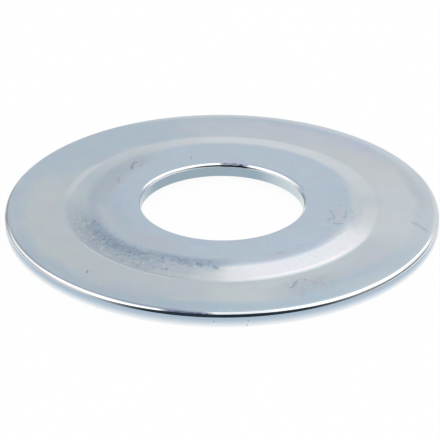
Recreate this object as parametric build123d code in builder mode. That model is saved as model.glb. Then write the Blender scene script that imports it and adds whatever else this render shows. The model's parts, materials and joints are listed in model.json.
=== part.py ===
"""Stamped disc washer: a flat ring that steps up to a raised flat centre round the bore.

One piece of plated steel sheet, pressed from a punched disc.
Millimetres, +Z up. The origin is on the bore's axis, in the plane that the washer rests on.
"""
import os

from build123d import *

# The punched disc
sheet = 1.5                  # thickness of the steel sheet
outer_diameter = 45.0        # across the rim
bore_diameter = 17.0         # across the punched hole

# The pressed step between the ring and the raised centre
foot_diameter = 32.7         # where the top of the flat ring turns up into the slope
slope_width = 2.6            # level distance from there to where the centre begins
rise = 0.42                  # how far the centre stands above the ring
foot_bend = 2.5              # inside radius of the bend at the foot, on the top side
shoulder_bend = 4.5          # inside radius of the bend at the shoulder, on the under side

# The tumbled edges: the punch rolled the top ones over, and the lower ones were only deburred
rim_roll = 0.43              # radius at the top of the rim
bore_roll = 0.35             # radius at the top of the bore
edge_break = 0.2             # bevel at the bottom of both


def top_line():
    """The top side of the sheet, as corner points from the rim in to the bore."""
    top = sheet
    return [
        (outer_diameter / 2, top),
        (foot_diameter / 2, top),
        (foot_diameter / 2 - slope_width, top + rise),
        (bore_diameter / 2, top + rise),
    ]


BORE, RIM = 0, -1            # the section's walls, counted outwards from the axis
LOWER, UPPER = 0, -1         # a wall's corners, counted upwards


def corner(wall, end):
    """One corner of the section as it stands, chosen by its wall and by its end of that wall."""
    return section.vertices().group_by(Axis.X)[wall].sort_by(Axis.Y)[end]


with BuildPart() as washer:
    with BuildSketch(Plane.XZ) as section:
        with BuildLine():
            # The bends run side by side, so the sheet is as thick in the slope as in the ring:
            # the outside of a bend is its inside radius and one sheet more.
            FilletPolyline(*top_line(), radius=[foot_bend, shoulder_bend + sheet])
            offset(amount=sheet, side=Side.LEFT)
        make_face()
        fillet(corner(RIM, UPPER), radius=rim_roll)
        fillet(corner(BORE, UPPER), radius=bore_roll)
        chamfer(corner(RIM, LOWER), length=edge_break)
        chamfer(corner(BORE, LOWER), length=edge_break)
    revolve(axis=Axis.Z)

washer.part.label = "washer"
os.makedirs("parts", exist_ok=True)
export_step(washer.part, "parts/washer.step")
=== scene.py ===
# %% [markdown]
# # A stamped disc washer in bright zinc plating
#
# The washer is one piece of 1.5 mm steel sheet: a flat outer ring, a shallow conical step, and a
# raised flat centre with a plain hole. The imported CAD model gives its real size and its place, so
# it is loaded first and never moved. All lengths in Blender are metres.

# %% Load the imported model
import json
import math

import bpy
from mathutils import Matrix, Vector


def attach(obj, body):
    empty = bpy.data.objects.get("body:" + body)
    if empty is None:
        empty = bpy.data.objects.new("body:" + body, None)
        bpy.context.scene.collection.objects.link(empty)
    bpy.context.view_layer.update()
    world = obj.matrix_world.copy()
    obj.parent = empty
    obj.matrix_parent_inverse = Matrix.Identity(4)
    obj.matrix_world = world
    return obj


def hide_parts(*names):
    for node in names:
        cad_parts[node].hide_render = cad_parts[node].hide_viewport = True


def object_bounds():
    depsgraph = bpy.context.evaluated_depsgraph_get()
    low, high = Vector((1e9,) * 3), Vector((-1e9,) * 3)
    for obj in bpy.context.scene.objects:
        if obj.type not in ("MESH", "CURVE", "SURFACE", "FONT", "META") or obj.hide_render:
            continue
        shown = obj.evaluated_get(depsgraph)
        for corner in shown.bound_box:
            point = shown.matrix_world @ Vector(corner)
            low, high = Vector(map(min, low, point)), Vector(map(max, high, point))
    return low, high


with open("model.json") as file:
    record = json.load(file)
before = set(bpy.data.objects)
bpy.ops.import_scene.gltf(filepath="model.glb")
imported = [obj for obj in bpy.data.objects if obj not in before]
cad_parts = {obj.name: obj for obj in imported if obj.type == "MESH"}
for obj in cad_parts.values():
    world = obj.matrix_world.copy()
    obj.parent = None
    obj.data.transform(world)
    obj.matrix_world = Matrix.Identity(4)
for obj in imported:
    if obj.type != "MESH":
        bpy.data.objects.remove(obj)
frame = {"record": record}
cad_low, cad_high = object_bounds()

MM = 0.001
bore = next(m for m in frame["record"]["mounts"] if m["name"] == "bore")
rim_radius = cad_high.x
bore_radius = bore["dims"]["r_mm"] * MM
full_height = cad_high.z
print("rim radius, bore radius, height in mm:",
      [round(v / MM, 3) for v in (rim_radius, bore_radius, full_height)])

# %% [markdown]
# ## The camera
#
# The washer is seen from 27 degrees above its own plane, from nine radii away with a long lens,
# so that the ring looks like a wide ellipse with hardly any perspective. The camera could be aimed
# with a constraint, but a direction turned into a rotation leaves nothing live in the file.

# %% Place the camera
scene = bpy.context.scene
sheet = 1.5 * MM
camera_elevation = math.radians(27.34)
camera_distance = 8.83 * rim_radius
camera_roll = math.radians(0.2)
ring_middle = Vector((0, 0, sheet))
aim_shift = Vector((-0.009, -0.160, 0)) * rim_radius
sensor_width = 36.0
lens_length = 156.3

towards_camera = Vector((0, -math.cos(camera_elevation), math.sin(camera_elevation)))
bpy.ops.object.camera_add(location=ring_middle + towards_camera * camera_distance)
camera = bpy.context.object
camera.name = "camera"
camera.data.sensor_width = sensor_width
camera.data.lens = lens_length
camera.data.clip_start = 0.01
camera.data.clip_end = 20.0
looking = ring_middle + aim_shift - camera.location
camera.rotation_euler = looking.to_track_quat("-Z", "Y").to_euler()
camera.rotation_euler.rotate_axis("Z", camera_roll)
scene.camera = camera
print("camera at", [round(v, 4) for v in camera.location])

# %% [markdown]
# ## The section of the sheet
#
# A washer is a body of revolution, so it is drawn once as a section and spun. It could be built up
# from discs and cones, but in a section both sides of the sheet are bent together, as in the
# press. The outline starts as a plane stood on edge with its face taken away. Its long sides get
# two more corners each, which are lifted for the raised centre. Then each corner is bevelled to
# its own radius: large and shallow at the two bends, small at the edges that the punch rolled over.

# %% Sizes of the section
rise = full_height - sheet
foot_radius = 16.35 * MM
slope_width = 2.6 * MM
foot_bend = 2.5 * MM
shoulder_bend = 4.5 * MM
rim_roll = 0.43 * MM
bore_roll = 0.35 * MM
edge_break = 0.2 * MM
shoulder_radius = foot_radius - slope_width
slope_angle = math.atan2(rise, slope_width)
under_shift = sheet * math.tan(slope_angle / 2)
tiny = 0.005 * MM
print("slope in degrees:", round(math.degrees(slope_angle), 2))


# %% Helpers that select by place
def deselect_all():
    """Leave edit mode and let go of every object."""
    if bpy.context.object and bpy.context.object.mode != "OBJECT":
        bpy.ops.object.mode_set(mode="OBJECT")
    bpy.ops.object.select_all(action="DESELECT")


def pick(obj, wanted, kind="vertices"):
    """Select, in edit mode, the vertices or edges for which wanted says yes."""
    bpy.ops.object.mode_set(mode="EDIT")
    bpy.ops.mesh.select_mode(type="VERT" if kind == "vertices" else "EDGE")
    bpy.ops.mesh.select_all(action="DESELECT")
    bpy.ops.object.mode_set(mode="OBJECT")
    for item in getattr(obj.data, kind):
        item.select = wanted(item)
    bpy.ops.object.mode_set(mode="EDIT")


print("selected after loading:", len(bpy.context.selected_objects))

# %% Draw the outline
deselect_all()
bpy.ops.mesh.primitive_plane_add(
    size=1, location=((bore_radius + rim_radius) / 2, 0, sheet / 2), rotation=(math.pi / 2, 0, 0))
washer = bpy.context.object
washer.name = "plated_washer"
washer.scale = (rim_radius - bore_radius, sheet, 1)
bpy.ops.object.transform_apply(location=True, rotation=True, scale=True)
bpy.ops.object.mode_set(mode="EDIT")
bpy.ops.mesh.delete(type="ONLY_FACE")


def is_level(edge):
    a, b = (washer.data.vertices[i].co for i in edge.vertices)
    return abs(a.z - b.z) < tiny


pick(washer, is_level, "edges")
bpy.ops.mesh.subdivide(number_cuts=2)
bpy.ops.object.mode_set(mode="OBJECT")
for side_is_top in (True, False):
    side = sorted((v for v in washer.data.vertices if (v.co.z > sheet / 2) == side_is_top),
                  key=lambda v: v.co.x)
    shift = 0 if side_is_top else under_shift
    side[1].co.x = shoulder_radius - shift
    side[2].co.x = foot_radius - shift
    for lifted in side[:2]:
        lifted.co.z += rise
print("outline corners:", len(washer.data.vertices))


# %% Round the corners
def round_corner(radius_out, height, radius, turn, segments):
    """Bevel the outline's corner at this place to a radius. turn is how far the outline turns."""
    pick(washer, lambda v: (v.co - Vector((radius_out, 0, height))).length < 10 * tiny)
    bpy.ops.mesh.bevel(offset=radius * math.tan(turn / 2), segments=segments, affect="VERTICES",
                       clamp_overlap=False)


right_angle = math.pi / 2
foot_cuts, shoulder_cuts, roll_cuts, break_cuts = 8, 10, 14, 5
foot_under = foot_radius - under_shift
shoulder_under = shoulder_radius - under_shift
round_corner(foot_radius, sheet, foot_bend, slope_angle, foot_cuts)
round_corner(foot_under, 0, foot_bend + sheet, slope_angle, foot_cuts)
round_corner(shoulder_radius, full_height, shoulder_bend + sheet, slope_angle, shoulder_cuts)
round_corner(shoulder_under, rise, shoulder_bend, slope_angle, shoulder_cuts)
round_corner(rim_radius, sheet, rim_roll, right_angle, roll_cuts)
round_corner(rim_radius, 0, edge_break, right_angle, break_cuts)
round_corner(bore_radius, full_height, bore_roll, right_angle, roll_cuts)
round_corner(bore_radius, rise, edge_break, right_angle, break_cuts)
bpy.ops.object.mode_set(mode="OBJECT")
print("outline points:", len(washer.data.vertices))

# %% [markdown]
# ## Spinning it
#
# Before the spin, the long straight stretches are cut short, so that the finished skin has small,
# even faces. A Screw modifier could turn the section too, but the spin operator makes the closed
# shell at once. Its doubles are merged, and its normals are then turned outwards.

# %% Cut the long stretches and spin
longest_stretch = 0.6 * MM
spin_steps = 480
merge_gap = 0.0005 * MM


def length_of(edge):
    a, b = (washer.data.vertices[i].co for i in edge.vertices)
    return (a - b).length


while max(map(length_of, washer.data.edges)) > longest_stretch:
    pick(washer, lambda edge: length_of(edge) > longest_stretch, "edges")
    bpy.ops.mesh.subdivide(number_cuts=1)
    bpy.ops.object.mode_set(mode="OBJECT")

bpy.ops.object.mode_set(mode="EDIT")
bpy.ops.mesh.select_all(action="SELECT")
bpy.ops.mesh.spin(steps=spin_steps, angle=2 * math.pi, center=(0, 0, 0), axis=(0, 0, 1),
                  use_auto_merge=True)
bpy.ops.mesh.select_all(action="SELECT")
bpy.ops.mesh.remove_doubles(threshold=merge_gap)
bpy.ops.mesh.normals_make_consistent(inside=False)
bpy.ops.object.mode_set(mode="OBJECT")
bpy.ops.object.shade_smooth()
print("washer faces:", len(washer.data.polygons))

# %% [markdown]
# ## Keeping the flats flat
#
# Smooth shading blends the normals where a wide flat meets a small roll, which would put a dull
# smear on the flat. Weighted normals let the larger faces decide, so the flats stay true mirrors
# and only the narrow faces of the roll turn.

# %% Weighted normals
weighted = washer.modifiers.new("flat_first", "WEIGHTED_NORMAL")
weighted.keep_sharp = False
weighted.weight = 100
deselect_all()
washer.select_set(True)
bpy.context.view_layer.objects.active = washer
bpy.ops.object.modifier_apply(modifier=weighted.name)

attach(washer, "root")
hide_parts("washer")
print("finished piece:", washer.name)

# %% [markdown]
# ## The zinc plating
#
# Clear-passivated zinc is a bright metal with a thin film on it, so its grey drifts to blue, pink
# and straw from place to place, as oil on water does. The whole finish is worked out from where a
# point lies on the washer: how far from the axis, in which direction, and how high. The film's
# drift could be one noise, but on the real part it follows the ring and its bends, so each patch
# is a soft window in direction and distance. Some windows on the bends, rolls and walls paint
# highlights, reflections and shade instead of film, and each says so where it stands.

# %% Start the material, with a short way to add nodes
zinc = bpy.data.materials.new("zinc_plate")
zinc.use_nodes = True
tree = zinc.node_tree
shader = tree.nodes["Principled BSDF"]
print("material:", zinc.name)


def add_node(kind, *inputs, **settings):
    """Add a node with these settings, fill its inputs in order, and give its first output.

    An input that is given None keeps its own value."""
    made = tree.nodes.new(kind)
    for name, value in settings.items():
        setattr(made, name, value)
    for socket, value in zip(made.inputs, inputs):
        if isinstance(value, bpy.types.NodeSocket):
            tree.links.new(value, socket)
        elif value is not None:
            socket.default_value = value
    return made.outputs[0]


# %% Sums on numbers and vectors
def math_of(operation, *inputs):
    return add_node("ShaderNodeMath", *inputs, operation=operation)


def vector_math_of(operation, *inputs):
    """A vector sum. Three kinds of it give a number, from their second output."""
    made = add_node("ShaderNodeVectorMath", *inputs, operation=operation)
    gives_number = operation in ("LENGTH", "DISTANCE", "DOT_PRODUCT")
    return made.node.outputs["Value"] if gives_number else made


def scaled(vector, factor):
    made = add_node("ShaderNodeVectorMath", vector, operation="SCALE")
    made.node.inputs["Scale"].default_value = factor
    return made


def times(*factors):
    result = factors[0]
    for factor in factors[1:]:
        result = math_of("MULTIPLY", result, factor)
    return result


def ramp(value, start, end, low=0.0, high=1.0):
    """A soft step from low to high as value goes from start to end."""
    return add_node("ShaderNodeMapRange", value, start, end, low, high,
                    interpolation_type="SMOOTHSTEP")


def blend_colours(amount, under, over):
    """Lay the colour over on the colour under, by this amount."""
    made = tree.nodes.new("ShaderNodeMix")
    made.data_type = "RGBA"
    for socket, value in zip((made.inputs[0], made.inputs[6], made.inputs[7]),
                             (amount, under, over)):
        if isinstance(value, bpy.types.NodeSocket):
            tree.links.new(value, socket)
        else:
            socket.default_value = value
    return made.outputs[2]


def noise(place, scale, detail=2.0, roughness=0.5):
    """Soft noise from 0 to 1, with scale in lumps per millimetre where place is in millimetres."""
    return add_node("ShaderNodeTexNoise", place, None, scale, detail, roughness)


# %% Where a point lies: direction from the axis, distance from it, and height, in millimetres
object_place = tree.nodes.new("ShaderNodeTexCoord").outputs["Object"]
place = scaled(object_place, 1 / MM)
split = add_node("ShaderNodeSeparateXYZ", place).node
height = split.outputs["Z"]
plan_place = add_node("ShaderNodeCombineXYZ", split.outputs["X"], split.outputs["Y"], 0.0)
distance = vector_math_of("LENGTH", plan_place)
direction = vector_math_of("NORMALIZE", plan_place)

# the film's patches have no sharp or regular edges, so their distance wanders a little
drifts_per_mm = 0.16
wander_mm = 2.4
drift = noise(plan_place, drifts_per_mm, 3.0)
wandering = math_of("ADD", distance, times(math_of("SUBTRACT", drift, 0.5), wander_mm))
print("nodes that place a point:", len(tree.nodes))


# %% Soft windows in direction and distance
def heading(azimuth):
    """The level direction at this many degrees from the nearest point of the rim, turning right."""
    turned = math.radians(azimuth)
    return Vector((math.sin(turned), -math.cos(turned), 0))


def sector(middle, half_width, softness):
    """1 within half_width degrees of the direction middle, fading out over the softness."""
    facing = vector_math_of("DOT_PRODUCT", direction, heading(middle))
    widest = min(half_width + softness, 180)
    return ramp(facing, math.cos(math.radians(widest)),
                math.cos(math.radians(max(half_width - softness, 0))))


def band(inner, outer, softness, across):
    """1 where across lies between two distances in millimetres, fading over the softness."""
    off_middle = math_of("ABSOLUTE", math_of("SUBTRACT", across, (inner + outer) / 2))
    half_width = (outer - inner) / 2
    return ramp(off_middle, half_width - softness, half_width + softness, 1.0, 0.0)


print("the right end lies towards", [round(part, 2) for part in heading(90)])


# %% Colours, and laying them on in patches
def paint(red, green, blue):
    """A colour as it is named on screen, from 0 to 255, turned into Blender's linear values."""
    def linear(level):
        level /= 255
        return level / 12.92 if level <= 0.04045 else ((level + 0.055) / 1.055) ** 2.4
    return (linear(red), linear(green), linear(blue), 1)


def lay_patches(under, patches, across):
    """Lay soft patches over the colour under. across is the distance that their bands go by.

    Each patch is the direction of its middle, its half width, how soft its ends are, its inner
    and outer distance, how soft those are, its colour and its strength."""
    for middle, half_width, softness, inner, outer, edge, tint, strength in patches:
        window = times(sector(middle, half_width, softness),
                       band(inner, outer, edge, across), strength)
        under = blend_colours(window, under, tint)
    return under


print("a middle grey in linear values:", [round(part, 3) for part in paint(128, 128, 128)])

# %% The film's colours
ring_grey = paint(176, 187, 195)
centre_blue = paint(166, 184, 201)
sky_blue = paint(159, 179, 195)
rose_grey = paint(184, 185, 198)
lilac_grey = paint(176, 184, 198)
pale_grey = paint(190, 197, 203)
straw_grey = paint(186, 191, 193)
green_grey = paint(185, 194, 196)
slate_grey = paint(162, 176, 187)
iron_grey = paint(171, 180, 187)
dull_slate = paint(150, 166, 181)
soft_slate = paint(169, 181, 192)
step_painted_highlight = paint(203, 206, 211)
step_pale = paint(199, 206, 213)
step_blue = paint(166, 181, 191)
step_shade = paint(146, 164, 181)
shoulder_shade = paint(150, 167, 179)
foot_shade = paint(156, 170, 180)
mist_blue = paint(165, 182, 196)
worn_blue = paint(168, 192, 206)
speck_and_shade_grey = paint(146, 160, 177)
foot_highlight_line = paint(203, 212, 220)
foot_painted_highlight = paint(220, 218, 220)
smudge_grey = paint(166, 177, 182)
light_blue = paint(190, 202, 215)
violet_blue = paint(170, 180, 203)
edge_painted_highlight = paint(214, 218, 221)

# the raised centre is bluer than the ring
centre_edge = shoulder_radius / MM
colour = blend_colours(ramp(distance, centre_edge - 0.6, centre_edge + 1.0),
                       centre_blue, ring_grey)
print("centre's blue ends at", round(centre_edge, 2), "mm from the axis")

# %% Patches that wander: most of the ring, and the left of the centre
ring_film = [
    (220, 30, 12, 16.6, 22.8, 0.8, sky_blue, 0.9),
    (192, 16, 10, 19.3, 20.8, 0.6, sky_blue, 0.6),
    (322, 36, 16, 20.7, 22.2, 0.7, sky_blue, 0.85),
    (328, 12, 8, 18.9, 21.5, 0.9, sky_blue, 0.35),
    (4, 22, 8, 20.2, 22.0, 0.5, sky_blue, 0.9),
    (262, 16, 8, 20.2, 22.3, 0.5, sky_blue, 0.6),
    (290, 45, 20, 16.8, 20.6, 1.2, straw_grey, 0.25),
    (8, 10, 6, 16.8, 20.6, 0.8, green_grey, 0.6),
    (36, 20, 8, 18.0, 20.4, 0.5, iron_grey, 0.8),
    (38, 24, 10, 19.8, 22.0, 0.9, sky_blue, 0.5),
    (48, 9, 6, 18.2, 20.0, 0.7, rose_grey, 0.5),
    (90, 22, 12, 16.5, 23.0, 0.5, pale_grey, 0.8),
    (84, 20, 10, 20.3, 22.4, 0.5, sky_blue, 0.35),
    (104, 14, 8, 20.2, 21.4, 0.5, iron_grey, 0.6),
    (128, 18, 10, 16.6, 20.2, 0.8, straw_grey, 0.7),
    (133, 12, 8, 19.3, 20.8, 0.6, rose_grey, 0.8),
    (155, 24, 12, 20.3, 22.0, 0.7, sky_blue, 0.7),
    (164, 29, 10, 17.8, 20.4, 0.6, lilac_grey, 0.75),
    (76, 6, 4, 11.8, 13.0, 0.4, rose_grey, 0.45),
    (312, 24, 10, 10.4, 12.8, 0.5, soft_slate, 0.7),
    (282, 16, 8, 11.9, 13.8, 0.5, soft_slate, 0.6),
    (280, 20, 8, 10.2, 11.8, 0.4, sky_blue, 0.8),
    (240, 22, 14, 11.6, 15.4, 0.9, slate_grey, 0.7),
    (246, 28, 8, 11.8, 14.3, 0.5, dull_slate, 0.55),
]
colour = lay_patches(colour, ring_film, wandering)
print("wandering patches:", len(ring_film))

# %% Patches that keep to the bends and the edges: film, painted highlights and painted shade
step_film = [
    (78, 28, 12, 13.4, 16.4, 0.5, pale_grey, 0.7),
    (112, 14, 8, 14.3, 16.4, 0.4, pale_grey, 0.6),
    (147, 42, 14, 14.0, 16.2, 0.4, step_pale, 0.7),
    # painted light: a pale fringe along the ring's far outer edge, standing in for glare at the
    # edge
    (158, 42, 14, 21.6, 23.0, 0.3, step_pale, 0.7),
    (242, 10, 8, 13.8, 15.9, 0.5, slate_grey, 0.5),
    # painted highlight: the next three rows paint the near right of the step nearly white, as the
    # reflection of the upright softbox
    (33, 33, 4, 13.95, 16.3, 0.22, step_painted_highlight, 0.92),
    (357, 7, 4, 14.9, 16.2, 0.25, step_painted_highlight, 0.6),
    (72, 12, 8, 14.7, 16.1, 0.35, step_painted_highlight, 0.7),
    # painted shade: a thin dark line along the shoulder, above the painted highlight
    (18, 24, 8, 13.35, 13.68, 0.12, speck_and_shade_grey, 0.4),
    (346, 8, 5, 14.4, 16.1, 0.4, step_pale, 0.4),
    # painted shade: here the step_blue, step_shade, shoulder_shade and foot_shade rows paint the
    # near left of the step darker, a painted darker reflection
    (310, 26, 10, 14.4, 16.3, 0.4, step_blue, 0.6),
    (302, 20, 12, 13.1, 15.6, 0.6, step_shade, 0.6),
    (311, 17, 7, 13.7, 14.8, 0.35, step_shade, 0.8),
    (347, 17, 7, 12.6, 13.9, 0.35, step_shade, 0.75),
    (262, 22, 10, 12.95, 13.75, 0.35, shoulder_shade, 0.55),
    (250, 10, 8, 15.75, 16.60, 0.15, step_pale, 0.45),
    (289, 18, 8, 14.3, 16.25, 0.25, foot_shade, 0.5),
    (336, 14, 8, 14.2, 15.5, 0.4, mist_blue, 0.5),
    (339, 12, 7, 13.6, 14.4, 0.3, light_blue, 0.35),
    (320, 14, 8, 14.4, 15.2, 0.35, worn_blue, 0.3),
    # painted highlight: a thin bright line along the foot bend at the near left
    (323, 19, 10, 16.37, 16.51, 0.08, foot_highlight_line, 0.9),
    (14, 14, 8, 20.4, 21.9, 0.5, sky_blue, 0.5),
    (38, 12, 8, 19.0, 20.4, 0.5, sky_blue, 0.6),
    (132, 22, 12, 21.3, 23.2, 0.5, light_blue, 0.6),
    (131, 8, 6, 19.8, 21.1, 0.5, violet_blue, 0.5),
    (33, 30, 7, 12.6, 13.7, 0.4, rose_grey, 0.3),
    # painted highlight: a pale line low on the foot at the near right
    (31, 18, 8, 15.85, 16.15, 0.12, foot_painted_highlight, 0.8),
    (26, 5, 3, 18.0, 20.2, 0.7, smudge_grey, 0.5),
    # painted highlight: the ring's outer edge at the right end is painted paler, as its highlight
    # there
    (86, 14, 8, 22.0, 23.0, 0.25, edge_painted_highlight, 0.7),
]
colour = lay_patches(colour, step_film, distance)
print("patches that keep to the form:", len(step_film))

# %% A faint drift of hue all over, and a fine grain that is stronger on the centre
centre_grain = ramp(distance, 11.5, 14.0, 0.14, 0.08)
for lumps_per_mm, strength in ((0.4, 0.08), (4.5, centre_grain)):
    hue = add_node("ShaderNodeTexNoise", place, None, lumps_per_mm, 4.0, 0.6).node
    colour = blend_colours(strength, colour, hue.outputs["Color"])
print("nodes with the film and its grain:", len(tree.nodes))

# %% Speckles where the skin was rubbed
# direction, half width, softness, inner and outer distance, softness, strength
rubbed = [
    (58, 34, 10, 12.3, 15.6, 0.5, 0.17),
    (27, 6, 3, 17.6, 20.0, 0.6, 0.6),
    (80, 18, 10, 11.4, 13.4, 0.6, 0.28),
]
speckled = 0.0
for middle, half_width, softness, inner, outer, edge, strength in rubbed:
    window = times(sector(middle, half_width, softness),
                   band(inner, outer, edge, distance), strength)
    speckled = math_of("MAXIMUM", speckled, window)
speckle = times(speckled, ramp(hue.outputs[0], 0.48, 0.62))
colour = blend_colours(speckle, colour, speck_and_shade_grey)
print("rubbed places:", len(rubbed))

# %% [markdown]
# ## The pressed step's mottled side
#
# On one side of the step the tumbling left a patch of small dents, which show as dark flecks. They
# could be modelled one by one, but a cell texture scatters dots for itself: each cell's own random
# number says whether it has a dot, and more of them do where the zone is strong. The same dots
# lower the surface in the bump. Soft clots where they run together are partly a smudge and partly
# painted shade, which darkens that side of the step.

# %% Ragged cells
fleck_size = 0.42
wobbles_per_mm = 3.0
wobble_mm = 0.5
wobble = add_node("ShaderNodeTexNoise", place, None, wobbles_per_mm).node.outputs["Color"]
ragged = vector_math_of("ADD", place, scaled(wobble, wobble_mm))
cells = add_node("ShaderNodeTexVoronoi", ragged, None, 1 / fleck_size).node
cell_number = add_node("ShaderNodeSeparateColor", cells.outputs["Color"])
off_cell_middle = cells.outputs["Distance"]
print("cells to a millimetre:", round(1 / fleck_size, 1))

# %% Mottle: dark dots, clots of smudge and painted shade where they run together, and bright worn cells below them
dark_fleck = paint(102, 127, 153)
zone_push = 0.62
clots_per_mm = 1.8
clot_smudge_and_shade_strength = 0.70
fleck_zone = math_of("MAXIMUM",
                     times(sector(309, 20, 10), band(13.5, 15.0, 0.5, distance)),
                     times(sector(338, 18, 8), band(12.9, 14.3, 0.4, distance)))
stray_zone = times(sector(318, 34, 8), band(12.6, 16.2, 0.5, distance), 0.38)
zone = math_of("MAXIMUM", fleck_zone, stray_zone)
# a cell has a dot where its own number, raised by the zone's strength, comes near 1
chosen = ramp(math_of("ADD", cell_number, times(zone, zone_push)), 0.86, 1.10)
dots = times(chosen, ramp(off_cell_middle, 0.55, 0.12), ramp(zone, 0.0, 0.7))
# partly painted shade: the clots are partly a smudge and partly a painted shade that darkens the
# middle of the mottled zone
clots_smudge_and_shade = times(fleck_zone, ramp(noise(place, clots_per_mm, 5.0, 0.8), 0.40, 0.64))
mottle = math_of("MAXIMUM", dots, times(clots_smudge_and_shade, clot_smudge_and_shade_strength))
worn = times(sector(317, 32, 8), band(14.3, 16.3, 0.4, distance),
             ramp(cell_number, 0.55, 0.20), ramp(off_cell_middle, 0.65, 0.20))
colour = blend_colours(times(worn, 0.75), colour, pale_grey)
colour = blend_colours(times(mottle, 0.8), colour, dark_fleck)
print("nodes with the mottle:", len(tree.nodes))

# %% [markdown]
# ## Edges and walls
#
# The rolled top edges are painted brighter where they face the camera, on the near part of the rim
# and the far part of the hole's edge: a painted highlight, which the softboxes top up. Painted dark
# hairlines, standing in for reflections of something dark, run beside these highlights, at the near
# left of the rim and the far right of the hole. Low on the outer wall a painted reflection of the
# white floor makes it nearly white. The wall of the hole is painted darker, a painted shade for the
# shaded floor inside the hole that it reflects, with lighter painted reflections near its two ends.
# These places could have materials of their own, but faces would then part them with hard lines, so
# soft windows are used here too.

# %% Where the rolls and the walls are
rim_mm = rim_radius / MM
bore_mm = bore_radius / MM

# each ramp goes from where the place starts to where it is whole
on_rim_roll = times(ramp(distance, rim_mm - 0.40, rim_mm - 0.30), ramp(height, 1.12, 1.20))
on_rim_wall = times(ramp(distance, rim_mm - 0.25, rim_mm - 0.15), ramp(height, 1.20, 1.12))
on_bore_roll = times(ramp(distance, bore_mm + 0.33, bore_mm + 0.24), ramp(height, 1.55, 1.65))
on_bore_wall = times(ramp(distance, bore_mm + 0.25, bore_mm + 0.15), ramp(height, 1.66, 1.58))
print("rim and bore in mm:", round(rim_mm, 2), round(bore_mm, 2))

# %% Painted reflection low on the outer wall, painted shade on the bore wall, painted highlights on the rolls
roll_painted_highlight = (0.86, 0.88, 0.90, 1)
wall_painted_reflection = (0.96, 0.97, 0.975, 1)
wall_blue = paint(170, 188, 204)
bore_wall_painted_shade = paint(152, 170, 182)
bore_wall_painted_light = paint(198, 211, 217)
roll_pale = paint(224, 231, 235)
roll_teal = paint(172, 187, 195)
half_bright = paint(186, 195, 206)
lip_painted_shade = paint(138, 150, 168)

colour = blend_colours(on_rim_wall, colour, wall_blue)
# painted reflection: the outer wall turns nearly white towards its foot, for the glare of the white
# floor that it reflects
floor_reflection_low = ramp(height, 1.0, -0.15)
colour = blend_colours(times(on_rim_wall, floor_reflection_low), colour, wall_painted_reflection)
# painted shade: the hole's wall is painted darker, for the shaded floor inside the hole that it
# reflects
colour = blend_colours(on_bore_wall, colour, bore_wall_painted_shade)
# painted reflection: the hole's wall is lighter near its right end, and a little near its left end
for middle, half_width, strength in ((105, 34, 1.0), (264, 12, 0.35)):
    patch = times(on_bore_wall, sector(middle, half_width, 19), strength)
    colour = blend_colours(patch, colour, bore_wall_painted_light)
# painted highlight: the rolls are painted brighter on the near part of the rim and the far part of
# the hole, where they face the camera
rim_painted_highlight = times(on_rim_roll, sector(0, 72, 7))
bore_painted_highlight = times(on_bore_roll, sector(180, 68, 9))
colour = blend_colours(math_of("MAXIMUM", rim_painted_highlight, bore_painted_highlight), colour, roll_painted_highlight)
# a paler grey that tones down the painted highlight at the rim's nearest point
colour = blend_colours(times(on_rim_roll, sector(5, 5, 5), 0.6), colour, half_bright)
# painted highlight and a painted duller reflection on the hole's roll towards its right end
for middle, half_width, tint in ((66, 16, roll_pale), (96, 12, roll_teal)):
    colour = blend_colours(times(on_bore_roll, sector(middle, half_width, 6)), colour, tint)
print("nodes with the rolls and walls:", len(tree.nodes))

# %% Painted dark hairlines beside the rolls
# painted shade: thin dark lines that stand in for the reflection of something dark beside the
# rolls' highlights
hairlines = [
    (318, 42, 10, rim_mm - 0.50, rim_mm - 0.44, 0.04, speck_and_shade_grey, 0.6),
    (317, 31, 6, rim_mm - 0.38, rim_mm - 0.25, 0.02, lip_painted_shade, 0.85),
    (343, 9, 5, rim_mm - 0.48, rim_mm - 0.27, 0.02, lip_painted_shade, 0.9),
    (136, 28, 6, bore_mm + 0.35, bore_mm + 0.50, 0.05, speck_and_shade_grey, 0.8),
]
colour = lay_patches(colour, hairlines, distance)
print("hairlines:", len(hairlines))

# %% [markdown]
# ## Scratches and bruises
#
# Loose washers knock against each other in the barrel. The marks could be cut into the mesh, but
# they are far shallower than the sheet. So each is drawn in the material, by how far a point is
# from a short line or a spot, and it stays sharp at any size. A mark is both darker and lower than
# the skin round it.


# %% Marks by distance
level_share = 0.4


def spot_at(azimuth, radius):
    return heading(azimuth) * radius


def dent(start, end, half_width, depth):
    """A soft-edged hollow along the line between two places, given in millimetres.

    Where both places are the same, it is a round spot."""
    run = end - start
    squeezed = add_node("ShaderNodeMapping", plan_place, (start + end) / 2,
                        (0, 0, math.atan2(run.y, run.x)),
                        (run.length / 2 + half_width, half_width, 1), vector_type="TEXTURE")
    return ramp(vector_math_of("LENGTH", squeezed), level_share, 1.0, depth, 0.0)


print("a mark is level over", level_share, "of its width")

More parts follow.
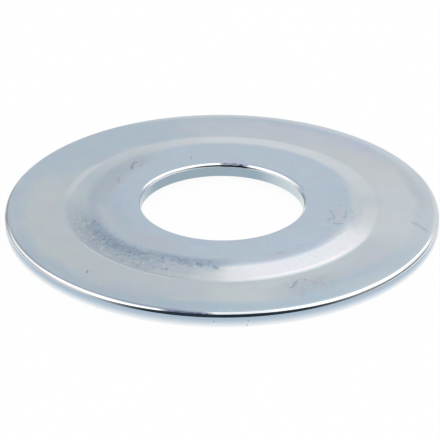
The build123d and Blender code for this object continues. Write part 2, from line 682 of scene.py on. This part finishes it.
# %% Scratches, curls and spots
# each mark's half width and depth, then its places, as direction and distance from the axis
marks = [
    (0.15, 0.50, (20.7, 18.69), (21.8, 18.55), (23.1, 17.95), (24.4, 17.60)),
    (0.10, 0.32, (24.4, 17.60), (25.8, 17.42), (27.3, 17.80)),
    (0.17, 0.40, (26.9, 17.74), (26.9, 17.74)),
    (0.40, 0.14, (28.4, 18.92), (28.4, 18.92)),
    (0.40, 0.08, (23.9, 19.83), (21.5, 20.50)),
    (0.22, 0.50, (233.9, 12.04), (229.5, 12.72), (227.2, 12.96), (225.7, 12.85)),
    (0.20, 0.24, (229.1, 11.77), (225.3, 12.08)),
    (0.20, 0.24, (245.9, 12.34), (245.0, 12.08), (250.0, 11.70)),
    (0.22, 0.14, (242.4, 13.60), (238.9, 13.80)),
    (0.34, 0.22, (79.1, 19.71), (76.6, 20.74), (74.2, 21.6)),
    (0.24, 0.18, (79.7, 11.17), (75.3, 11.83), (69.5, 12.18)),
    (0.26, 0.26, (66.4, 12.44), (66.2, 12.78), (67.4, 13.15)),
    (0.24, 0.36, (73.7, 13.07), (73.7, 13.07)),
    (0.24, 0.15, (80.9, 12.96), (74.6, 13.13)),
    (0.26, 0.28, (69.6, 11.68), (69.6, 11.68)),
    (0.26, 0.12, (82.6, 13.32), (77.2, 13.74), (71.0, 14.02)),
    (0.45, 0.10, (101.0, 13.20), (101.0, 13.20)),
    (0.11, 0.38, (197.6, 11.2), (199.6, 10.0)),
    (0.13, 0.60, (318.2, 19.8), (317.5, 19.25)),
    (0.26, 0.15, (24.5, 12.65), (29.5, 12.75)),
    (0.36, 0.42, (358.0, 14.27), (356.9, 14.05)),
    (0.40, 0.30, (352.4, 13.85), (350.0, 13.80)),
]
marked = 0.0
for half_width, depth, *stops in marks:
    places = [spot_at(*stop) for stop in stops]
    for start, end in zip(places, places[1:]):
        marked = math_of("MAXIMUM", marked, dent(start, end, half_width, depth))
mark_colour = paint(96, 112, 130)
colour = blend_colours(marked, colour, mark_colour)
print("marks:", len(marks))

# %% The bruised stretches of the rim and of the hole's edge, partly painted shade
rim_bruise_shade_grey = paint(132, 142, 160)
rim_bruise_shade_dark = paint(76, 84, 106)
bore_bruise_shade_grey = paint(128, 138, 160)
bore_bruise_shade_dark = paint(66, 72, 96)
along_per_mm = 2.7
across_per_mm = 7.0

streak_place = vector_math_of(
    "ADD", vector_math_of("MULTIPLY", place, (along_per_mm, along_per_mm, 0.0)),
    add_node("ShaderNodeCombineXYZ", 0.0, 0.0,
             times(math_of("ADD", height, distance), across_per_mm)))
streak = noise(streak_place, 1.0, 4.0, 0.6)
# these stretches are partly a scuff and partly painted shade: grey and dark streaks paint out the
# highlight on the rolls there
rim_bruise_and_shade = times(sector(351.5, 5.0, 2.5), on_rim_roll,
                    ramp(distance, rim_mm - 0.08, rim_mm - 0.14))
low_streak = times(ramp(streak, 0.36, 0.48), ramp(distance, rim_mm - 0.32, rim_mm - 0.22))
colour = blend_colours(rim_bruise_and_shade, colour, rim_bruise_shade_grey)
colour = blend_colours(times(rim_bruise_and_shade, low_streak, 0.9), colour, rim_bruise_shade_dark)
bore_bruise_and_shade = times(sector(171, 9.0, 3.0), on_bore_roll)
dark_streak = ramp(streak, 0.42, 0.56)
colour = blend_colours(times(bore_bruise_and_shade, 0.85), colour, bore_bruise_shade_grey)
colour = blend_colours(times(bore_bruise_and_shade, dark_streak), colour, bore_bruise_shade_dark)
print("nodes with the bruises:", len(tree.nodes))

# %% Pin pricks in the outer wall, by direction and height
pricks = [(358.2, 0.72), (6.4, 0.75), (6.1, 0.25)]
prick_radius = 0.12
for azimuth, level in pricks:
    prick = spot_at(azimuth, rim_mm) + Vector((0, 0, level))
    gap = vector_math_of("DISTANCE", place, prick)
    colour = blend_colours(ramp(gap, prick_radius / 3, prick_radius, 0.5, 0.0), colour, mark_colour)
print("pin pricks:", len(pricks))

# %% [markdown]
# ## Gloss and bump
#
# The flats are satin: sharp enough to show a softbox, soft enough to hide its edge. The rolls are
# almost mirrors. A faint orange peel from the plating bath covers everything, with finer lines
# round the axis where the sheet slid in the die. All this is thinner than a hair, so it is bump
# and not mesh.

# %% Roughness
smoothest_flat, roughest_flat, roll_roughness = 0.19, 0.21, 0.08
cloud = noise(place, 0.5, 3.0)
flat_roughness = ramp(cloud, 0.3, 0.7, smoothest_flat, roughest_flat)
on_rolls = math_of("MAXIMUM", on_rim_roll, on_bore_roll)
roughness = add_node("ShaderNodeMapRange", on_rolls, 0.0, 1.0, flat_roughness, roll_roughness)
tree.links.new(roughness, shader.inputs["Roughness"])
print("roughness of flats and rolls:", smoothest_flat, roughest_flat, roll_roughness)

# %% Bump, with every height in millimetres
peel_height = 0.0006
line_height = 0.0003
dent_depth = 0.006
lines_per_mm = 5.0

round_lines_place = vector_math_of("ADD", vector_math_of("MULTIPLY", direction, (2.0, 2.0, 0.0)),
                                   add_node("ShaderNodeCombineXYZ", 0.0, 0.0,
                                            times(distance, lines_per_mm)))
round_lines = noise(round_lines_place, 1.0, 2.0)
peel = noise(place, 1.8, 2.0)
surface = math_of("ADD", times(peel, peel_height), times(round_lines, line_height))
for hollow in (dots, marked):
    surface = math_of("SUBTRACT", surface, times(hollow, dent_depth))
bump = tree.nodes.new("ShaderNodeBump")
bump.inputs["Strength"].default_value = 1.0
bump.inputs["Distance"].default_value = MM
tree.links.new(surface, bump.inputs["Height"])
tree.links.new(bump.outputs["Normal"], shader.inputs["Normal"])
print("dents in mm:", dent_depth)

# %% The shader's own values, and the material on the washer
tree.links.new(colour, shader.inputs["Base Color"])
shader.inputs["Metallic"].default_value = 1.0
washer.data.materials.append(zinc)
print("nodes in the plating:", len(tree.nodes))

# %% [markdown]
# ## The floor and the room
#
# The washer stands on white paper in a white room. The paper is mostly its own light, so it stays
# white all over, and the little that it takes from the room keeps the washer's soft shadow. Lamps
# could whiten it, but they would glare on the metal.

# %% Start and finish a material of light
def start_material(obj, name):
    """Give the object a new material, and return its empty tree for add_node to fill."""
    made = bpy.data.materials.new(name)
    made.use_nodes = True
    made.node_tree.nodes.clear()
    obj.data.materials.append(made)
    return made.node_tree


def finish_surface(result):
    output = tree.nodes.new("ShaderNodeOutputMaterial")
    tree.links.new(result, output.inputs["Surface"])


# %% Floor and world
floor_gap = 0.005 * MM
floor_size = 6
glow_share = 0.93
white = (1, 1, 1, 1)
deselect_all()
bpy.ops.mesh.primitive_plane_add(size=floor_size, location=(0, 0, -floor_gap))
floor = bpy.context.object
floor.name = "floor"
bpy.ops.object.transform_apply(location=True, rotation=True, scale=True)
tree = start_material(floor, "floor_paper")
paper = add_node("ShaderNodeBsdfDiffuse", (0.95, 0.95, 0.95, 1))
glow = add_node("ShaderNodeEmission", white, 1.0)
finish_surface(add_node("ShaderNodeMixShader", glow_share, paper, glow))

world = bpy.data.worlds.new("white_room")
scene.world = world
world.use_nodes = True
world.node_tree.nodes["Background"].inputs["Color"].default_value = white
print("floor", round(floor_gap / MM, 3), "mm under the washer")

# %% [markdown]
# ## Softboxes and boards
#
# Metal shows what stands round it. Two wide softboxes overhead, with a gap between them, draw the
# bright line on the rolled edges, and an upright one at the back right lights the near side of the
# step. Grey boards at the back left give the rest of the step and the left end of the rim something
# darker to show. Area lamps could do this, but a card's edges and its grey are easier to place. The
# cards are seen in reflections only, so they neither light the paper nor stand in the picture.


# %% Cards
def to_stage(made):
    """Leave this piece to reflections alone."""
    made.visible_camera = False
    made.visible_shadow = False
    made.visible_diffuse = False


def card(name, turn, location, width, length):
    """A flat card of this size, level or upright."""
    deselect_all()
    bpy.ops.mesh.primitive_plane_add(size=1, location=location, rotation=turn)
    made = bpy.context.object
    made.name = name
    made.scale = (width, length, 1)
    bpy.ops.object.transform_apply(location=True, rotation=True, scale=True)
    to_stage(made)
    return made


level = (0, 0, 0)
upright = (math.pi / 2, 0, 0)
room = 0.6
# name, turn, its limits in x, its limits in y or in height, strength
cards = [
    ("softbox_front", level, (-0.9, 0.9), (-0.62, -0.09), 1.5),
    ("softbox_top", level, (-0.9, 0.9), (0.09, 0.38), 1.5),
    ("softbox_back", upright, (-0.005, 0.45), (0.40, 0.78), 1.42),
    ("grey_board", upright, (-0.7, -0.005), (0.38, 0.78), 0.88),
    ("side_board_left", upright, (-0.5, -0.2), (0.0, 0.30), 0.65),
]
for name, turn, (left, right), (start, end), strength in cards:
    middle = (start + end) / 2
    centred = (left + right) / 2
    location = (centred, middle, room) if turn == level else (centred, room, middle)
    tree = start_material(card(name, turn, location, right - left, end - start), name)
    finish_surface(add_node("ShaderNodeEmission", white, strength))
print("cards:", len(cards))

# %% [markdown]
# ## Black flags
#
# A black strip close outside the near rim draws the dark line under the bright one. It could be a
# plain board further off, but that would darken the flats too. So it is a crescent, hardly taller
# than the washer, that leans over the roll in its middle: the dark line is thick there, and thins
# and greys out towards both ends. A shorter one stands inside the hole, at its far side.


# %% Flags
def soft_step(value, start, end):
    """0 before start, 1 after end, and a smooth way between."""
    part = min(1, max(0, (value - start) / (end - start)))
    return part * part * (3 - 2 * part)


circle_points = 720
lean_ends = (3, 28)
slope_ends = (5, 40)
foot_lift = 0.7


def flag(name, radius, middle, solid, half_width, lean, heights):
    """A strip on a circle round the axis that leans inwards in its middle and thins to its ends.

    heights are its bottom, then its top in the middle, at the left end and at the right end. The
    lean ends, and the top slopes down, between two numbers of degrees from the middle. The bottom
    rises by foot_lift of the strip's height at the ends."""
    bottom, middle_top, left_top, right_top = heights
    facing = heading(middle)

    def turned(v):
        return math.degrees(Vector((v.co.x, v.co.y, 0)).angle(facing))

    deselect_all()
    bpy.ops.mesh.primitive_circle_add(vertices=circle_points, radius=radius, fill_type="NOTHING",
                                      location=(0, 0, bottom))
    made = bpy.context.object
    made.name = name
    bpy.ops.object.transform_apply(location=True, rotation=True, scale=True)
    pick(made, lambda v: turned(v) > half_width)
    bpy.ops.mesh.delete(type="VERT")
    bpy.ops.mesh.select_all(action="SELECT")
    bpy.ops.mesh.extrude_region_move(
        TRANSFORM_OT_translate={"value": (0, 0, middle_top - bottom)})
    bpy.ops.mesh.extrude_region_move(TRANSFORM_OT_translate={"value": (0, 0, tiny)})
    bpy.ops.object.mode_set(mode="OBJECT")
    for v in made.data.vertices:
        off_middle = turned(v)
        end_top = left_top if v.co.x < 0 else right_top
        if v.co.z > middle_top + tiny / 2:
            leaning = 1 - lean * (1 - soft_step(off_middle, *lean_ends)) / radius
            v.co.x *= leaning
            v.co.y *= leaning
        if v.co.z > bottom + tiny:
            v.co.z += (end_top - middle_top) * soft_step(off_middle, *slope_ends)
        else:
            lift = foot_lift * soft_step(off_middle, solid, half_width)
            v.co.z += (end_top - bottom) * lift
    to_stage(made)
    return made


print("points round a flag's circle:", circle_points)

# %% Place the flags
clear = 0.04 * MM
flag_blue = (0.022, 0.034, 0.046, 1)
# name, radius, direction, half widths of its solid part and of the whole, lean; its heights; then
# the half width where it has faded, its greys at the left and the right, and how much of the grey
# is left near the very ends
flags = [
    ("rim_flag", rim_radius + clear, 0.5, 17, 86, 0.11 * MM,
     (1.11 * MM, sheet + 0.09 * MM, sheet - 0.16 * MM, sheet - 0.08 * MM), 38, 0.64, 0.26, 0.36),
    ("bore_flag", bore_radius - clear, 177, 4, 72, 0.0,
     (1.62 * MM, full_height + 0.03 * MM, full_height - 0.05 * MM, full_height - 0.12 * MM),
     34, 0.45, 0.85, 1.0),
]
for (name, radius, middle, solid, half_width, lean, heights,
     faded, left_light, right_light, end_share) in flags:
    made = flag(name, radius, middle, solid, half_width, lean, heights)
    tree = start_material(made, name)
    strip_place = tree.nodes.new("ShaderNodeTexCoord").outputs["Object"]
    level_place = vector_math_of("MULTIPLY", strip_place, (1.0, 1.0, 0.0))
    level_direction = vector_math_of("NORMALIZE", level_place)
    here = vector_math_of("DOT_PRODUCT", level_direction, heading(middle))
    to_right = vector_math_of("DOT_PRODUCT", level_direction, heading(90))
    end_light = times(ramp(to_right, -0.4, 0.4, left_light, right_light),
                      ramp(math_of("ABSOLUTE", to_right), 0.68, 0.92, 1.0, end_share))
    # the last stretch at the right is nearly white, so that the dark line stops short of its end
    end_light = math_of("ADD", end_light, ramp(to_right, 0.90, 0.97, 0.0, 0.8))
    faded_here = ramp(here, math.cos(math.radians(solid)), math.cos(math.radians(faded)))
    light = blend_colours(faded_here, flag_blue,
                          add_node("ShaderNodeCombineColor", end_light, end_light, end_light))
    finish_surface(add_node("ShaderNodeEmission", light, 1.0))
print("flags:", len(flags))

# %% [markdown]
# ## Last settings
#
# The Standard view shows each colour as it is written, which suits a plain white room better than
# a film look.

# %% View
scene.view_settings.view_transform = "Standard"
print("view transform:", scene.view_settings.view_transform)
